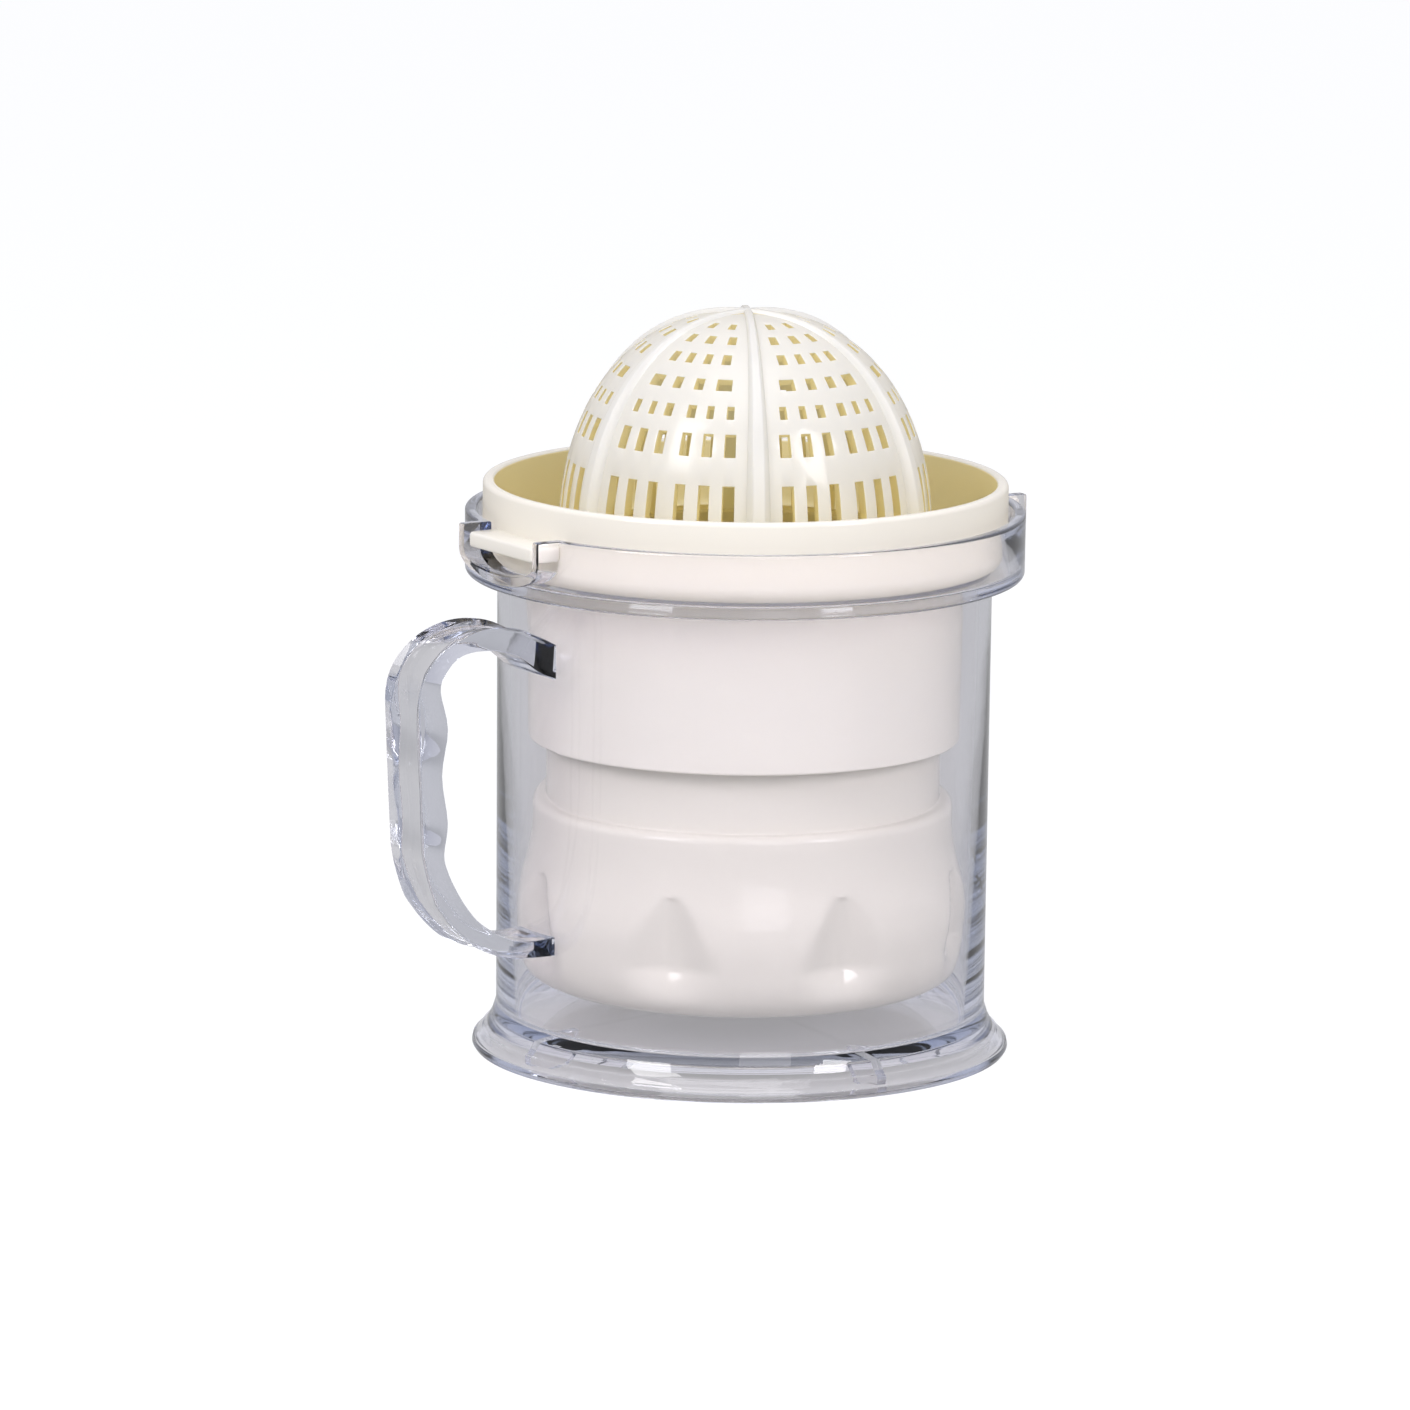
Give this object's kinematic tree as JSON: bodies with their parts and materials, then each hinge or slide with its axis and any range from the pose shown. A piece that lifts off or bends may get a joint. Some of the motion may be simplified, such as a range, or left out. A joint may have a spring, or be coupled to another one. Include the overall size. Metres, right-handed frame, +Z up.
{
  "type": "hand citrus juicer",
  "caption": "Hand citrus juicer nested in its clear measuring mug: slotted ribbed dome, strainer bowl with lock tabs, and a scalloped press cap stored below.",
  "frame": {"origin": "on the surface it stands on, under the middle of the whole footprint, handle included", "axes": "+Z up, +X away from the handle, +Y to the left of someone who looks along +X; the mug's own axis is 12.8 mm along +X"},
  "size_m": [0.1616, 0.13, 0.1742],
  "materials": {
    "clear_plastic": "polished clear moulded plastic with a faint blue-grey tint",
    "ivory_plastic": "glossy ivory moulded plastic",
    "white_plastic": "glossy warm white moulded plastic"
  },
  "bodies": {
    "mug": {"mug_body": "clear_plastic", "mug_handle": "clear_plastic"},
    "press_cap": {"press_cap": "white_plastic"},
    "strainer_bowl": {"strainer_bowl": "ivory_plastic"},
    "reamer_dome": {"reamer_dome": "ivory_plastic"}
  },
  "joints": [
    {"name": "set_lift", "type": "slide", "parent": "mug", "child": "press_cap", "axis": [0, 0, 1], "range_m": [0, 0.125]},
    {"name": "bowl_lift", "type": "slide", "parent": "press_cap", "child": "strainer_bowl", "axis": [0, 0, 1], "range_m": [0, 0.06]},
    {"name": "dome_lift", "type": "slide", "parent": "strainer_bowl", "child": "reamer_dome", "axis": [0, 0, 1], "range_m": [0, 0.05]}
  ]
}
